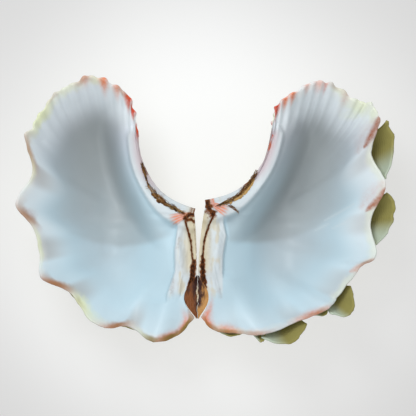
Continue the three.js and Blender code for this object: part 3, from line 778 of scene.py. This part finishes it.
def makeShellSurface():
    material, tree, shader, place = newMaterial("shellSurface")
    look = shellFinish
    along = addNode(tree, "ShaderNodeSeparateXYZ", {0: place}).outputs["Y"]
    outside, fromRim, hollow = (attribute(tree, name) for name in ("outside", "fromRim", "hollow"))
    fine = addMottle(tree, place, 420.0, 0.3, 0.7)
    # hollow side: cool porcelain, greyer on the floor of the hollow (partly painted shade) and with painted
    # shade in its upper part
    cloud = ramp(tree, addMottle(tree, place, 16.0, 0.3, 0.7), 0.0, 1.0, 0.75, 1.0)
    paintedShadeShare = times(tree, attribute(tree, "shade"), ramp(tree, hollow, 0.0, 0.9, 0.4, 0.65))
    # painted light: lighter towards the rim, less so towards the lower end
    rimPaintedLight = ramp(tree, fromRim, 36.0, 7.0, 0.0, 0.85)
    rimPaintedLight = times(tree, rimPaintedLight, ramp(tree, along, -0.07, 0.0, 0.3, 1.0))
    ragged = plus(tree, fromRim, times(tree, addMottle(tree, place, 90.0), 3.5))
    # orange to red blotches, streaked along the growth lines
    redness = attribute(tree, "redness")
    stain = layColours(tree, look["stainBrown"], look, [
        (ramp(tree, redness, 0.0, 0.4), "orange"), (ramp(tree, redness, 0.4, 0.9), "red"),
    ])
    streak = times(tree, attribute(tree, "blush"), ramp(tree, fine, 0.0, 1.0, 0.88, 1.06))
    inside = layColours(tree, look["porcelain"], look, [
        (ramp(tree, along, 0.0, 0.09), "upperPorcelain"),
        # the floor of the hollow greyer, partly painted shade
        (times(tree, ramp(tree, hollow, 0.35, 1.0), cloud), "floor"),
        # painted shade in the upper part of the hollow
        (paintedShadeShare, "shade"),
        (rimPaintedLight, "paintedLightWhite"),
        (attribute(tree, "valley"), "valley"),
        # pale ledge and plate, with the painted highlights of the glints
        (attribute(tree, "pale"), "brightWhite"),
        # painted highlight on the flute crests
        (times(tree, attribute(tree, "ridge"), 0.95), "paintedLightWhite"),
        (ramp(tree, ragged, 10.0, 2.0, 0.0, 0.3), "warmWhite"),
        (times(tree, attribute(tree, "mauve"), 0.7), "mauve"),
        (attribute(tree, "lime"), "lime"),
        (attribute(tree, "cream"), "cream"),
        (ramp(tree, streak, 0.02, 1.0), stain),
        # ochre bands: the rim's own orange-brown, partly painted shade below the tips
        (attribute(tree, "ochre"), "ochre"),
        (attribute(tree, "olive"), "olive"),
    ])
    # scutes: olive with fine lines of growth, with painted shade that darkens them towards the root, paler at
    # one side
    leaf = attribute(tree, "leaf")
    wander = maths(tree, "MULTIPLY_ADD", addMottle(tree, place, 60.0), 3.0, times(tree, leaf, 110.0))
    # painted shade: darker towards the root of each scute
    rootShade = ramp(tree, leaf, 0.95, 0.35, 0.0, 0.4)
    lined = maths(tree, "MULTIPLY_ADD", maths(tree, "SINE", wander), 0.16, rootShade)
    scute = layColours(tree, look["leaf"], look, [
        (lined, "leafLinesAndShade"),
        (times(tree, ramp(tree, attribute(tree, "across"), 0.0, 0.8), 0.85), "leafPale"),
    ])
    # outside: chalky to olive, darker in the growth lines
    patches = addMottle(tree, place, 55.0, 0.3, 0.7)
    growth = maths(tree, "SINE", maths(tree, "MULTIPLY_ADD", fromRim, 0.84, times(tree, patches, 3.0)))
    weathered = maths(tree, "MULTIPLY_ADD", growth, 0.2, maths(tree, "MULTIPLY_ADD", patches, 0.4, 0.25))
    outer = layColours(tree, look["chalk"], look, [
        (weathered, "olive"),
        (times(tree, addMottle(tree, place, 170.0, 0.45, 0.7), 0.35), "oliveDark"),
        (ramp(tree, leaf, 0.05, 0.25), scute),
    ])
    # brown crust left by the byssus and the ligament
    crust = times(tree, attribute(tree, "grime"), ramp(tree, fine, 0.0, 1.0, 0.7, 1.15))
    crust = times(tree, crust, ramp(tree, outside, 0.75, 0.45))
    brown = blendColour(tree, ramp(tree, crust, 0.55, 0.95), look["grime"], look["grimeDark"])
    base = layColours(tree, inside, look, [
        (ramp(tree, outside, 0.5, 0.8), outer), (ramp(tree, crust, 0.05, 0.6), brown),
    ])
    rough = maths(tree, "MAXIMUM", ramp(tree, outside, 0.4, 0.7), ramp(tree, crust, 0.1, 0.5))
    feed(tree, shader, {
        "Base Color": base,
        "Roughness": ramp(tree, rough, 0.0, 1.0, 0.52, 0.85),
        "Coat Weight": ramp(tree, rough, 0.0, 0.6, 0.12, 0.0),
        "Specular IOR Level": 0.3,
        "Coat Roughness": 0.2,
    })
    grain = addNode(tree, "ShaderNodeTexNoise", {"Vector": place, "Scale": 420.0, "Detail": 5}).outputs["Fac"]
    addBump(tree, shader, times(tree, grain, ramp(tree, rough, 0.0, 1.0, 0.05, 1.0)), 0.0006)
    return material

shellSurface = makeShellSurface()

# Scutes: leaf-like plates in a row down each rib, each shorter and more worn towards the umbo.
scuteForm = {
    "rows": [(0.45, 0.2), (0.58, 0.3), (0.68, 0.4), (0.78, 0.52), (0.86, 0.66), (0.935, 1.0)],
    "sink": 1.5,
    "rise": 35.0,
    "lean": 64.0,
    "flare": 0.12,
    "taper": 0.5,
    "waviness": 0.04,
    "fluteTurns": 9.0,
    "fluteDepth": 0.014,  # share of the scute's reach
    "thickness": 1.5,
    "acrossSteps": 21,
    "upSteps": 12,
}
scuteGuides = ("root", "edgePlus", "edgeMinus", "along", "away", "sideways", "reach", "seed")

def scutePoints(valve):
    # One vertex for each scute, carrying the frame of the outer face that it grows from.
    last = len(valve["margin"]) - 1
    data = {name: [] for name in scuteGuides}
    for number, (place, halfSpan, reach) in enumerate(valve["ribs"]):
        for row, (u, share) in enumerate(scuteForm["rows"]):
            s = np.array([place - halfSpan, place, place + halfSpan, place - 0.2, place + 0.2]) / last
            f = valveFields(valve, np.array([u - 0.01, u, u + 0.01]), np.clip(s, 0, 1))
            points = toWorld(np.stack([f["x"], f["y"], outerHeight(valve, f)], -1), valve["side"])
            along = points[2, 1] - points[0, 1]
            sideways = points[1, 4] - points[1, 3]
            along /= np.linalg.norm(along)
            sideways /= np.linalg.norm(sideways)
            away = np.cross(along, sideways)
            away /= np.linalg.norm(away)
            away = -away if away[2] > 0 else away
            root = points[1, 1]
            seed = valve["seed"] * 10 + number * 3.1 + row * 1.7
            guides = (root, points[1, 2] - root, points[1, 0] - root, along, away, sideways,
                      reach * share * mm, seed)
            for name, value in zip(scuteGuides, guides):
                data[name].append(value)
    mesh = bpy.data.meshes.new("scuteRoots")
    mesh.from_pydata([tuple(p) for p in data["root"]], [], [])
    tagMesh(mesh, data)
    return mesh

def makeScuteTree():
    tree = bpy.data.node_groups.new("scuteGrowth", "GeometryNodeTree")
    inside, out = addSockets(
        tree,
        [("Geometry", "Geometry", None), ("Sink", "Float", 0.0025), ("Rise", "Float", 35.0),
         ("Lean", "Float", 64.0), ("Flare", "Float", 0.12), ("Taper", "Float", 0.35),
         ("Waviness", "Float", 0.1), ("Surface", "Material", None)],
        [("Geometry", "Geometry")],
    )

    def named(name, kind="FLOAT"):
        node = addNode(tree, "GeometryNodeInputNamedAttribute", {"Name": name}, data_type=kind)
        return node.outputs["Attribute"]

    def store(geometry, name, value):
        values = {"Geometry": geometry, "Name": name, "Value": value}
        node = addNode(tree, "GeometryNodeStoreNamedAttribute", values, data_type="FLOAT", domain="POINT")
        return node.outputs["Geometry"]

    def moved(place, heading, far):
        return vectors(tree, "ADD", place, vectors(tree, "SCALE", heading, far))

    grid = addNode(tree, "GeometryNodeMeshGrid", {
        "Size X": 2.0, "Size Y": 1.0,
        "Vertices X": scuteForm["acrossSteps"], "Vertices Y": scuteForm["upSteps"],
    })
    position = addNode(tree, "GeometryNodeInputPosition").outputs[0]
    spot = addNode(tree, "ShaderNodeSeparateXYZ", {0: position}).outputs
    sheet = store(grid.outputs["Mesh"], "across", spot["X"])
    sheet = store(sheet, "up", plus(tree, spot["Y"], 0.5))
    spread = addNode(tree, "GeometryNodeInstanceOnPoints", {"Points": inside["Geometry"], "Instance": sheet})
    real = addNode(tree, "GeometryNodeRealizeInstances", {0: spread.outputs[0]})

    across, up, reach, seed = (named(name) for name in ("across", "up", "reach", "seed"))
    guides = (named(name, "FLOAT_VECTOR") for name in scuteGuides[:6])
    root, edgePlus, edgeMinus, along, away, sideways = guides
    square = times(tree, across, across)
    place = moved(root, edgePlus, times(tree, plus(tree, square, across), 0.5))
    place = moved(place, edgeMinus, times(tree, maths(tree, "SUBTRACT", square, across), 0.5))
    place = moved(place, away, times(tree, inside["Sink"], -1.0))
    # the leaf turns from standing off the rib to lying over towards the margin
    span = maths(tree, "SUBTRACT", inside["Lean"], inside["Rise"])
    turn = maths(tree, "RADIANS", maths(tree, "MULTIPLY_ADD", span, up, inside["Rise"]))
    heading = vectors(tree, "SCALE", away, maths(tree, "COSINE", turn))
    heading = moved(heading, along, maths(tree, "SINE", turn))
    spot = addNode(tree, "ShaderNodeCombineXYZ", {"X": across, "Y": seed}).outputs[0]
    values = {"Vector": spot, "Scale": 2.4, "Detail": 3.0}
    frayed = addNode(tree, "ShaderNodeTexNoise", values, noise_dimensions="2D").outputs["Fac"]
    uneven = times(tree, maths(tree, "SUBTRACT", frayed, 0.5), inside["Waviness"])
    outline = maths(tree, "MULTIPLY_ADD", times(tree, square, inside["Taper"]), -1.0, 1.0)
    outline = maths(tree, "MULTIPLY_ADD", uneven, 5.0, outline)
    length = times(tree, plus(tree, reach, inside["Sink"]), outline)
    place = moved(place, heading, times(tree, length, up))
    fan = times(tree, times(tree, across, times(tree, up, up)), reach)
    place = moved(place, sideways, times(tree, fan, inside["Flare"]))
    # fine flutes run up the leaf and make its edge wavy
    wave = maths(tree, "SINE", maths(tree, "MULTIPLY_ADD", across, scuteForm["fluteTurns"], seed))
    depth = times(tree, reach, scuteForm["fluteDepth"])
    place = moved(place, away, times(tree, times(tree, wave, up), depth))
    move = addNode(tree, "GeometryNodeSetPosition", {"Geometry": real.outputs[0], "Position": place})
    values = {"Geometry": move.outputs[0], "Material": inside["Surface"]}
    feed(tree, out, {"Geometry": addNode(tree, "GeometryNodeSetMaterial", values).outputs[0]})
    return tree

scuteTree = makeScuteTree()

def makeScutes(valve):
    form = scuteForm
    piece = useTree(newPiece("scutes", scutePoints(valve)), scuteTree, {
        "Sink": form["sink"] * mm, "Rise": form["rise"], "Lean": form["lean"], "Flare": form["flare"],
        "Taper": form["taper"], "Waviness": form["waviness"], "Surface": shellSurface,
    })
    mesh = thicken(piece, form["thickness"] * mm, 0)
    count = len(mesh.vertices)
    place = np.empty(count * 3, np.float32)
    mesh.vertices.foreach_get("co", place)
    place[2::3] = np.maximum(place[2::3], 0.0)  # worn flat where the shell lies on them
    mesh.vertices.foreach_set("co", place)
    up = np.empty(count, np.float32)
    mesh.attributes["up"].data.foreach_get("value", up)
    for name in scuteGuides:
        mesh.attributes.remove(mesh.attributes[name])
    tagMesh(mesh, {"outside": np.ones(count), "fromRim": 12 * (1 - up), "leaf": up})
    mesh.shade_smooth()
    return piece

def makeValve(name, valve, node):
    rings, names = ringGrid(valve)
    mesh = meshFromRings(name, rings, names, valve["side"])
    faceOutwards(mesh)
    mesh.materials.append(shellSurface)
    piece = joinPieces(newPiece(name, mesh), [makeScutes(valve)])
    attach(piece, "root")
    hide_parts(node)
    print(name, "made,", sum(len(face.vertices) - 2 for face in piece.data.polygons), "triangles")
    return piece

leftShell = makeValve("leftValve", leftValve, "left_valve")
rightShell = makeValve("rightValve", rightValve, "right_valve")

def surfaceOf(piece):
    mesh = piece.data
    return BVHTree.FromPolygons([v.co for v in mesh.vertices], [p.vertices for p in mesh.polygons])

def dropOn(surface, out, along, side, spare=0.0):
    # The place on the hollow side straight below a point, raised by spare mm.
    spot = toWorld([[out, along, 0.0]], side)[0]
    hit = surface.ray_cast(Vector((spot[0], spot[1], 1.0)), Vector((0, 0, -1)))[0]
    height = hit.z if hit else (commissure - 14) * mm
    return np.array([spot[0], spot[1], height + spare * mm])

# The torn ligament: half a lens in each valve's notch, split down its middle.
ligamentForm = {
    "share": 0.95,
    "tearWander": 0.9,
    "tearGap": 0.15,
    "tearSeed": 17,
    "drop": 1.6,
    "middleDrop": 5.0,
    "thickness": 8.0,
    "overlap": 0.9,  # how far it reaches into the shell beside the notch
    "laminae": 7,
    "laminaHeight": 0.28,
    "crackDepth": 0.9,
    "unevenness": 0.25,
    "alongSteps": 120,
    "acrossSteps": 22,
    "dark": colour(58, 20, 8),
    "brown": colour(132, 74, 28),
    "amber": colour(204, 150, 84),
    "cream": colour(236, 214, 178),
}

def makeLigament(name, valve, node, amberShare):
    form = ligamentForm
    share = np.linspace(-form["share"], form["share"], form["alongSteps"])
    along = ligamentMiddle + ligamentHalf * share
    t = np.linspace(0, 1, form["acrossSteps"])
    notch = valve["notchWidth"] * np.maximum(0, 1 - share * share) ** 1.5 + form["overlap"]
    # both halves follow one torn line, a little to each side of it
    torn = form["tearWander"] * waveNoise(along, 0 * along, form["tearSeed"], 14, 4)
    inner = (form["tearGap"] + valve["side"] * torn)[:, None]
    outs = inner + (notch[:, None] - inner) * t[None, :]
    alongs = along[:, None] + 0 * outs
    wavy = waveNoise(outs, alongs, valve["seed"] + 51, 26, 3)
    layers = np.sin((t[None, :] + 0.06 * wavy) * form["laminae"] * 2 * math.pi)
    cracks = np.exp(-((waveNoise(outs * 3, alongs, valve["seed"] + 52, 30, 3) / 0.09) ** 2))
    fall = form["drop"] + (form["middleDrop"] - form["drop"]) * (1 - t[None, :]) ** 1.6
    top = commissure - fall + form["laminaHeight"] * layers - form["crackDepth"] * cracks
    top += form["unevenness"] * wavy
    low = np.full(top.shape, commissure - 3 - form["thickness"])
    rows, cols = outs.shape
    points = np.concatenate([np.stack([outs, alongs, height], -1).reshape(-1, 3) for height in (top, low)])
    count = rows * cols
    index = np.arange(count).reshape(rows, cols)
    quads = np.stack([index[:-1, :-1], index[:-1, 1:], index[1:, 1:], index[1:, :-1]], -1)
    quads = quads.reshape(-1, 4).tolist()
    quads += [[count + c for c in quad[::-1]] for quad in quads]
    border = index[0, :].tolist() + index[1:, -1].tolist() + index[-1, -2::-1].tolist()
    quads += [[a, b, count + b, count + a] for a, b in zip(border, border[1:] + border[:1])]
    mesh = bpy.data.meshes.new(name)
    mesh.from_pydata(toWorld(points, valve["side"]).tolist(), [], quads)
    tagMesh(mesh, {"across": np.tile(t, rows * 2), "end": np.tile(np.repeat(share, cols), 2)})
    faceOutwards(mesh)
    material, tree, shader, place = newMaterial(name + "Surface")
    across = attribute(tree, "across")
    # the layers run lengthwise, so the patches are drawn out along the hinge
    lengthwise = vectors(tree, "MULTIPLY", place, (1.0, 0.28, 1.0))
    blotch = addMottle(tree, lengthwise, 260.0)
    # dark and resinous at the upper end and along the break, amber towards the shell
    lit = plus(tree, times(tree, across, 0.6), times(tree, attribute(tree, "end"), -0.45))
    lit = plus(tree, lit, times(tree, blotch, 0.35))
    base = layColours(tree, form["dark"], form, [
        (ramp(tree, lit, 0.22, 0.62), "brown"),
        (ramp(tree, lit, 0.55 - amberShare, 1.0 - amberShare), "amber"),
        (times(tree, ramp(tree, across, 0.1, 0.0), ramp(tree, blotch, 0.2, 0.8)), "cream"),
    ])
    feed(tree, shader, {"Base Color": base, "Roughness": ramp(tree, blotch, 0.0, 1.0, 0.35, 0.7)})
    addBump(tree, shader, addMottle(tree, lengthwise, 700.0, 0.2, 0.8), 0.0005)
    mesh.materials.append(material)
    piece = newPiece(name, mesh)
    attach(piece, "root")
    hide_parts(node)
    print(name, "made")

makeLigament("leftLigament", leftValve, "left_ligament", -0.45)
makeLigament("rightLigament", rightValve, "right_ligament", 0.34)

# The dried byssus: a ragged crust along the ledge with hair-like fibres over it.
byssusForm = {
    "crustSheet": 0.7,
    "crustThickness": 1.1,
    "crustLift": 0.15,
    "crustSteps": (90, 17),
    "fibreLength": 7.0,
    "fibreThickness": 0.16,
    "fibreSpread": 0.42,
    "fibreWander": 1.6,
    "darkest": colour(58, 31, 10),
    "brown": colour(136, 88, 34),
    "ochre": colour(204, 164, 100),
}

def makeByssusSurface():
    form = byssusForm
    material, tree, shader, place = newMaterial("byssusSurface")
    thin = addMottle(tree, place, 900.0, 0.3, 0.7)
    tone = plus(tree, attribute(tree, "tone"), times(tree, thin, 0.35))
    base = layColours(tree, form["brown"], form, [
        (addMottle(tree, place, 210.0, 0.35, 0.62), "darkest"), (ramp(tree, tone, 0.6, 1.15), "ochre"),
    ])
    feed(tree, shader, {"Base Color": base, "Roughness": 0.85})
    addBump(tree, shader, thin, 0.0006, 0.8)
    return material

byssusSurface = makeByssusSurface()

def makeFibreTree():
    tree = bpy.data.node_groups.new("byssusFibres", "GeometryNodeTree")
    inside, out = addSockets(
        tree,
        [("Geometry", "Geometry", None), ("Fibre Length", "Float", 0.007), ("Fibre Thickness", "Float", 0.0002),
         ("Spread", "Float", 0.4), ("Seed", "Int", 1), ("Surface", "Material", None)],
        [("Geometry", "Geometry")],
    )

    def randomBetween(low, high, offset):
        values = {2: low, 3: high, "Seed": plus(tree, inside["Seed"], offset)}
        return addNode(tree, "FunctionNodeRandomValue", values, data_type="FLOAT").outputs[1]

    hair = addNode(tree, "GeometryNodeCurveQuadraticBezier", {
        "Resolution": 7, "Start": (-0.5, 0, 0), "Middle": (0, 0.12, 0.05), "End": (0.5, 0, 0),
    })
    heading = addNode(tree, "GeometryNodeInputNamedAttribute", {"Name": "heading"}, data_type="FLOAT_VECTOR")
    align = addNode(tree, "FunctionNodeAlignRotationToVector", {"Vector": heading.outputs[0]}, axis="X")
    swing = addNode(tree, "ShaderNodeCombineXYZ", {
        "Y": randomBetween(-0.12, 0.12, 2), "Z": times(tree, randomBetween(-1.0, 1.0, 1), inside["Spread"]),
    })
    turned = addNode(tree, "FunctionNodeRotateRotation", {0: align.outputs[0], 1: swing.outputs[0]},
                     rotation_space="LOCAL")
    spread = addNode(tree, "GeometryNodeInstanceOnPoints", {
        "Points": inside["Geometry"], "Instance": hair.outputs[0], "Rotation": turned.outputs[0],
        "Scale": times(tree, randomBetween(0.45, 1.3, 3), inside["Fibre Length"]),
    })
    real = addNode(tree, "GeometryNodeRealizeInstances", {0: spread.outputs[0]})
    position = addNode(tree, "GeometryNodeInputPosition").outputs[0]
    noise = addNode(tree, "ShaderNodeTexNoise", {"Vector": position, "Scale": 320.0}).outputs["Color"]
    shift = vectors(tree, "SUBTRACT", noise, (0.5, 0.5, 0.5))
    shift = vectors(tree, "SCALE", shift, byssusForm["fibreWander"] * mm)
    move = addNode(tree, "GeometryNodeSetPosition", {"Geometry": real.outputs[0], "Offset": shift})
    values = {"Resolution": 4, "Radius": inside["Fibre Thickness"]}
    ring = addNode(tree, "GeometryNodeCurvePrimitiveCircle", values)
    solid = addNode(tree, "GeometryNodeCurveToMesh", {
        "Curve": move.outputs[0], "Profile Curve": ring.outputs[0], "Fill Caps": True,
    })
    last = addNode(tree, "GeometryNodeRealizeInstances", {0: solid.outputs[0]})
    values = {"Geometry": last.outputs[0], "Material": inside["Surface"]}
    feed(tree, out, {"Geometry": addNode(tree, "GeometryNodeSetMaterial", values).outputs[0]})
    return tree

fibreTree = makeFibreTree()

def alongPath(path, share):
    # Places on a polyline, the direction that it runs in there, and the one across it.
    path = np.array(path, float)
    steps = np.linalg.norm(np.diff(path, axis=0), axis=1)
    total = np.concatenate([[0], np.cumsum(steps)])
    at = np.clip(share, 0, 1) * total[-1]

    def spotAt(far):
        return np.stack([np.interp(far, total, path[:, 0]), np.interp(far, total, path[:, 1])], -1)

    run = spotAt(at + 0.5) - spotAt(at - 0.5)
    run /= np.linalg.norm(run, axis=-1, keepdims=True) + 1e-9
    return spotAt(at), run, np.stack([-run[:, 1], run[:, 0]], -1)

def makeCrust(valve, strip, surface, number):
    # A thin uneven sheet over the ledge, with ragged ends and holes.
    form = byssusForm
    rows, cols = form["crustSteps"]
    t = np.linspace(0, 1, rows)
    v = np.linspace(-1, 1, cols)
    spot, _, normal = alongPath(strip["path"], t)
    half = strip["width"] / 2 * (0.35 + 0.65 * np.sin(np.pi * np.clip(t * 0.94 + 0.03, 0, 1)) ** 0.6)
    grid = spot[:, None] + normal[:, None] * (v[None, :] * half[:, None])[..., None]
    outs, alongs = grid[..., 0], grid[..., 1]
    noise = waveNoise(outs, alongs, valve["seed"] + 70 + number, 8, 4)
    keep = (v * v * 1.1 + 0.75 * noise) < 0.55
    lift = form["crustLift"] + form["crustThickness"] * (1 - v * v) * (0.6 + 0.4 * noise)
    places = zip(outs.ravel(), alongs.ravel(), lift.ravel())
    points = [tuple(dropOn(surface, x, y, valve["side"], spare)) for x, y, spare in places]
    kept = keep[:-1, :-1] & keep[1:, :-1] & keep[:-1, 1:] & keep[1:, 1:]
    corners = (np.argwhere(kept) @ (cols, 1)).tolist()
    faces = [(a, a + 1, a + cols + 1, a + cols) for a in corners]
    mesh = bpy.data.meshes.new("crust")
    mesh.from_pydata(points, [], faces)
    tone = strip["tone"] + 0.25 * waveNoise(outs, alongs, valve["seed"] + 90, 12, 3)
    tagMesh(mesh, {"tone": tone.ravel()})
    work = bmesh.new()
    work.from_mesh(mesh)
    loose = [vertex for vertex in work.verts if not vertex.link_faces]
    bmesh.ops.delete(work, geom=loose, context="VERTS")
    bmesh.ops.recalc_face_normals(work, faces=work.faces)
    work.normal_update()
    if sum(face.normal.z for face in work.faces) < 0:
        bmesh.ops.reverse_faces(work, faces=work.faces)
    work.to_mesh(mesh)
    work.free()
    piece = newPiece("crust", mesh)
    mesh = thicken(piece, form["crustSheet"] * mm, -1)
    mesh.materials.append(byssusSurface)
    mesh.shade_smooth()
    return piece

def makeFibres(valve, strip, surface, number):
    form = byssusForm
    side = valve["side"]
    draw = np.random.default_rng(valve["seed"] * 7 + number)
    share = draw.uniform(0, 1, strip["count"])
    off = draw.uniform(-1, 1, strip["count"]) * strip["width"] / 2
    spot, run, normal = alongPath(strip["path"], share)
    points, headings = [], []
    for (x, y), (dx, dy) in zip(spot + normal * off[:, None], run):
        slope = dropOn(surface, x + dx, y + dy, side) - dropOn(surface, x - dx, y - dy, side)
        points.append(tuple(dropOn(surface, x, y, side, draw.uniform(0.5, 1.5))))
        headings.append(slope / (np.linalg.norm(slope) + 1e-9))
    mesh = bpy.data.meshes.new("fibreRoots")
    mesh.from_pydata(points, [], [])
    tagMesh(mesh, {"heading": headings, "tone": draw.uniform(0, 0.9, len(points))})
    return useTree(newPiece("fibres", mesh), fibreTree, {
        "Fibre Length": form["fibreLength"] * mm, "Fibre Thickness": form["fibreThickness"] * mm,
        "Spread": form["fibreSpread"], "Seed": valve["seed"] + number, "Surface": byssusSurface,
    })

def makeByssus(name, valve, shell, node):
    surface = surfaceOf(shell)
    parts = [makeCrust(valve, strip, surface, i) for i, strip in enumerate(valve["crust"])]
    parts += [makeFibres(valve, strip, surface, i) for i, strip in enumerate(valve["fibres"])]
    piece = joinPieces(parts[0], parts[1:])
    piece.name = name
    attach(piece, "root")
    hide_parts(node)
    print(name, "made")

makeByssus("leftByssus", leftValve, leftShell, "left_byssus_remains")
makeByssus("rightByssus", rightValve, rightShell, "right_byssus_remains")

# Floor, light and camera. Lamps: (name, place, size, power, tint).
stage = {
    "lamps": [
        ("key", (-0.55, 0.95, 1.45), 0.8, 12.5, (0.95, 0.985, 1.0)),
        ("top", (-0.2, 0.6, 1.9), 1.6, 12, (0.95, 0.98, 1.0)),
        ("fill", (0.3, -1.4, 0.9), 0.8, 4, (1.0, 0.99, 0.97)),
    ],
    "lampAim": (0, 0, 0.05),
    "floorSize": 6.0,
    # painted light on the floor: brighter in the middle than at the edges, and glowing
    "floorMiddle": colour(250, 250, 249),
    "floorEdge": colour(214, 213, 212),
    "floorGlow": 0.64,
    "floorShade": 0.42,
    "roomTint": (0.95, 0.97, 1.0, 1),
    "roomLight": 0.4,
    "viewWidth": 0.387,
    "viewDistance": 2.2,
    "viewShift": (0.0098, 0.053),
}

def makeFloor():
    half = stage["floorSize"] / 2
    mesh = bpy.data.meshes.new("floor")
    corners = [(-half, -half, 0), (half, -half, 0), (half, half, 0), (-half, half, 0)]
    mesh.from_pydata(corners, [], [(0, 1, 2, 3)])
    material, tree, shader, place = newMaterial("paleFloor")
    flat = vectors(tree, "MULTIPLY", place, (1.0, 1.0, 0.0))
    distance = addNode(tree, "ShaderNodeVectorMath", {0: flat}, operation="LENGTH").outputs["Value"]
    # painted pool of light: the floor is brighter in the middle than at its edges
    base = blendColour(tree, ramp(tree, distance, 0.1, 0.3), stage["floorMiddle"], stage["floorEdge"])
    # the floor glows, painted light that lightens the shadows on it
    feed(tree, shader, {
        "Base Color": blendColour(tree, stage["floorShade"], (0, 0, 0, 1), base),
        "Emission Color": base,
        "Emission Strength": stage["floorGlow"],
        "Roughness": 0.9,
        "Specular IOR Level": 0.1,
    })
    mesh.materials.append(material)
    newPiece("floor", mesh)

def addLamps():
    for name, place, size, power, tint in stage["lamps"]:
        lamp = bpy.data.lights.new(name, "AREA")
        lamp.size = size
        lamp.energy = power
        lamp.color = tint
        item = newPiece(name, lamp)
        item.location = place
        item.rotation_euler = (Vector(stage["lampAim"]) - Vector(place)).to_track_quat("-Z", "Y").to_euler()
    world = bpy.data.worlds.new("softRoom")
    world.use_nodes = True
    tree = world.node_tree
    feed(tree, tree.nodes["Background"], {"Color": stage["roomTint"], "Strength": stage["roomLight"]})
    bpy.context.scene.world = world
    bpy.context.scene.view_settings.view_transform = "Standard"

def makeCamera():
    lens = bpy.data.cameras.new("camera")
    lens.sensor_width = 36
    lens.lens = 36 * stage["viewDistance"] / stage["viewWidth"]
    lens.clip_end = 20
    eye = newPiece("camera", lens)
    shift = stage["viewShift"]
    eye.location = (hingeX + shift[0], hingeY + shift[1], commissure * mm + stage["viewDistance"])
    bpy.context.scene.camera = eye

makeFloor()
addLamps()
makeCamera()
print("stage ready")
